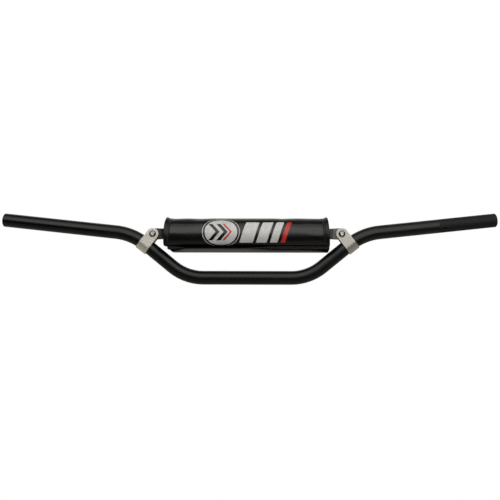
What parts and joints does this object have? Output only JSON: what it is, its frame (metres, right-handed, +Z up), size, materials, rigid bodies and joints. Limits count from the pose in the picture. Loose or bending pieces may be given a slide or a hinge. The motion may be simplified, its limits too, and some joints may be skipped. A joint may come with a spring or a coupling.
{
  "type": "motorcycle handlebar",
  "caption": "Rise-bend off-road handlebar of round tube, braced by a crossbar in strap clamps that carries a wrapped foam pad; it bolts in a stem clamp and takes grips and controls.",
  "frame": {"origin": "middle of the stem clamp zone, on the axis of the centre tube", "axes": "+X along the bar towards the rider's left hand, +Y back towards the rider, +Z up; the risers' plane leans back 3 degrees from Z, as the bar stands in use"},
  "size_m": [0.8134, 0.0805, 0.114],
  "materials": {
    "bar_coating": "satin",
    "crossbar_coating": "satin",
    "end_fitting_coating": "matte",
    "stainless_strap": "satin",
    "zinc_fastener": "satin",
    "foam": "matte",
    "vinyl": "satin",
    "vinyl_binding": "satin",
    "thread": "matte",
    "hook_and_loop": "matte"
  },
  "bodies": {
    "bar": {"handlebar_tube": "bar_coating", "crossbar_tube": "crossbar_coating", "crossbar_end_left": "end_fitting_coating", "clamp_strap_left": "stainless_strap", "clamp_bolt_left": "zinc_fastener", "clamp_washer_left": "zinc_fastener", "clamp_nut_left": "zinc_fastener", "crossbar_end_right": "end_fitting_coating", "clamp_strap_right": "stainless_strap", "clamp_bolt_right": "zinc_fastener", "clamp_washer_right": "zinc_fastener", "clamp_nut_right": "zinc_fastener"},
    "pad": {"pad_foam": "foam", "pad_cover": "vinyl", "pad_hem_left": "vinyl_binding", "pad_hem_right": "vinyl_binding", "pad_thread_left": "thread", "pad_thread_right": "thread", "pad_loop_strip": "hook_and_loop", "pad_hook_strip": "hook_and_loop"}
  },
  "joints": [
    {"name": "pad_turn", "type": "hinge", "parent": "bar", "child": "pad", "pos_m": [0, 0.00371, 0.07053], "axis": [1, 0, 0], "continuous": true}
  ]
}
